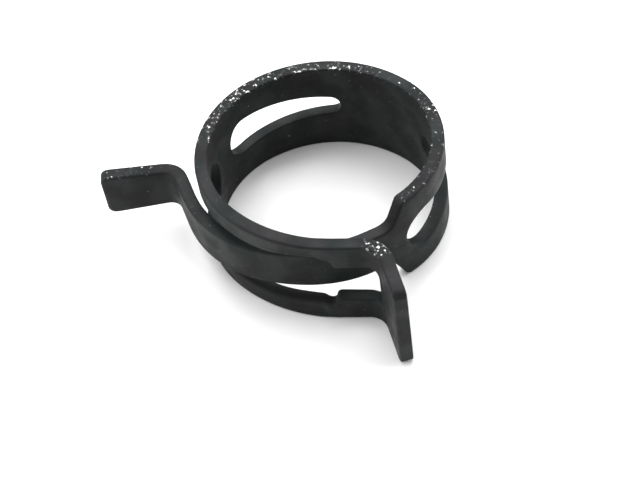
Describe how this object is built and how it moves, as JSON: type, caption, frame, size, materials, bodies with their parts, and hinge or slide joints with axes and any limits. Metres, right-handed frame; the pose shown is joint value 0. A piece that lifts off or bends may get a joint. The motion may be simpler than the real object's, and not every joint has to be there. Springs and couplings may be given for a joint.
{
  "type": "spring band hose clamp",
  "caption": "Spring-steel band clamp that grips a hose and opens when its two tangs are squeezed together.",
  "frame": {"origin": "centre of the hose bore, at the middle of the band's width", "axes": "+Z along the bore axis; the fork tang points to -Y and the tongue tang to -X"},
  "size_m": [0.0366, 0.0321, 0.012],
  "materials": {
    "strip": "matte black phosphate and zinc-flake coat on spring steel"
  },
  "bodies": {
    "back": {"back_band": "strip"},
    "left_rails": {"left_window_upper_rail": "strip", "left_window_lower_rail": "strip"},
    "bridge": {"left_bridge": "strip"},
    "fork_legs": {"fork_upper_leg": "strip", "fork_lower_leg": "strip"},
    "fork_end": {"fork_tang": "strip"},
    "right_rails": {"right_window_upper_rail": "strip", "right_window_lower_rail": "strip"},
    "shoulder": {"right_shoulder": "strip"},
    "tongue_run": {"tongue": "strip"},
    "tongue_end": {"tongue_tang": "strip"}
  },
  "joints": [
    {"name": "squeeze", "type": "hinge", "parent": "back", "child": "left_rails", "pos_m": [-0.00048, 0.01156, 0], "axis": [0, 0, -1], "range_deg": [0, 12], "stiffness_Nm_per_rad": 0.2},
    {"name": "bridge_flex", "type": "hinge", "parent": "left_rails", "child": "bridge", "pos_m": [-0.01127, 0.0086, 0], "axis": [0, 0, -1], "range_deg": [0, 11.88]},
    {"name": "fork_leg_flex", "type": "hinge", "parent": "bridge", "child": "fork_legs", "pos_m": [-0.0153, 0.00062, 0], "axis": [0, 0, -1], "range_deg": [0, 15]},
    {"name": "fork_tang_flex", "type": "hinge", "parent": "fork_legs", "child": "fork_end", "pos_m": [-0.00377, -0.01339, 0], "axis": [0, 0, -1], "range_deg": [0, 7.5]},
    {"name": "right_rail_flex", "type": "hinge", "parent": "back", "child": "right_rails", "pos_m": [0.01019, 0.00292, 0], "axis": [0, 0, 1], "range_deg": [0, 15]},
    {"name": "shoulder_flex", "type": "hinge", "parent": "right_rails", "child": "shoulder", "pos_m": [0.0075, -0.0075, 0], "axis": [0, 0, 1], "range_deg": [0, 11.25]},
    {"name": "tongue_flex", "type": "hinge", "parent": "shoulder", "child": "tongue_run", "pos_m": [0.00156, -0.01071, 0], "axis": [0, 0, 1], "range_deg": [0, 8.12]},
    {"name": "tongue_tang_flex", "type": "hinge", "parent": "tongue_run", "child": "tongue_end", "pos_m": [-0.01131, -0.00936, 0], "axis": [0, 0, 1], "range_deg": [0, 8.75]}
  ],
  "couplings": [
    {"joint": "bridge_flex", "follows": "squeeze", "ratio": 0.79167},
    {"joint": "fork_leg_flex", "follows": "squeeze", "ratio": 1},
    {"joint": "fork_tang_flex", "follows": "squeeze", "ratio": 0.5},
    {"joint": "right_rail_flex", "follows": "squeeze", "ratio": 1},
    {"joint": "shoulder_flex", "follows": "squeeze", "ratio": 0.75},
    {"joint": "tongue_flex", "follows": "squeeze", "ratio": 0.54167},
    {"joint": "tongue_tang_flex", "follows": "squeeze", "ratio": 0.58333}
  ]
}
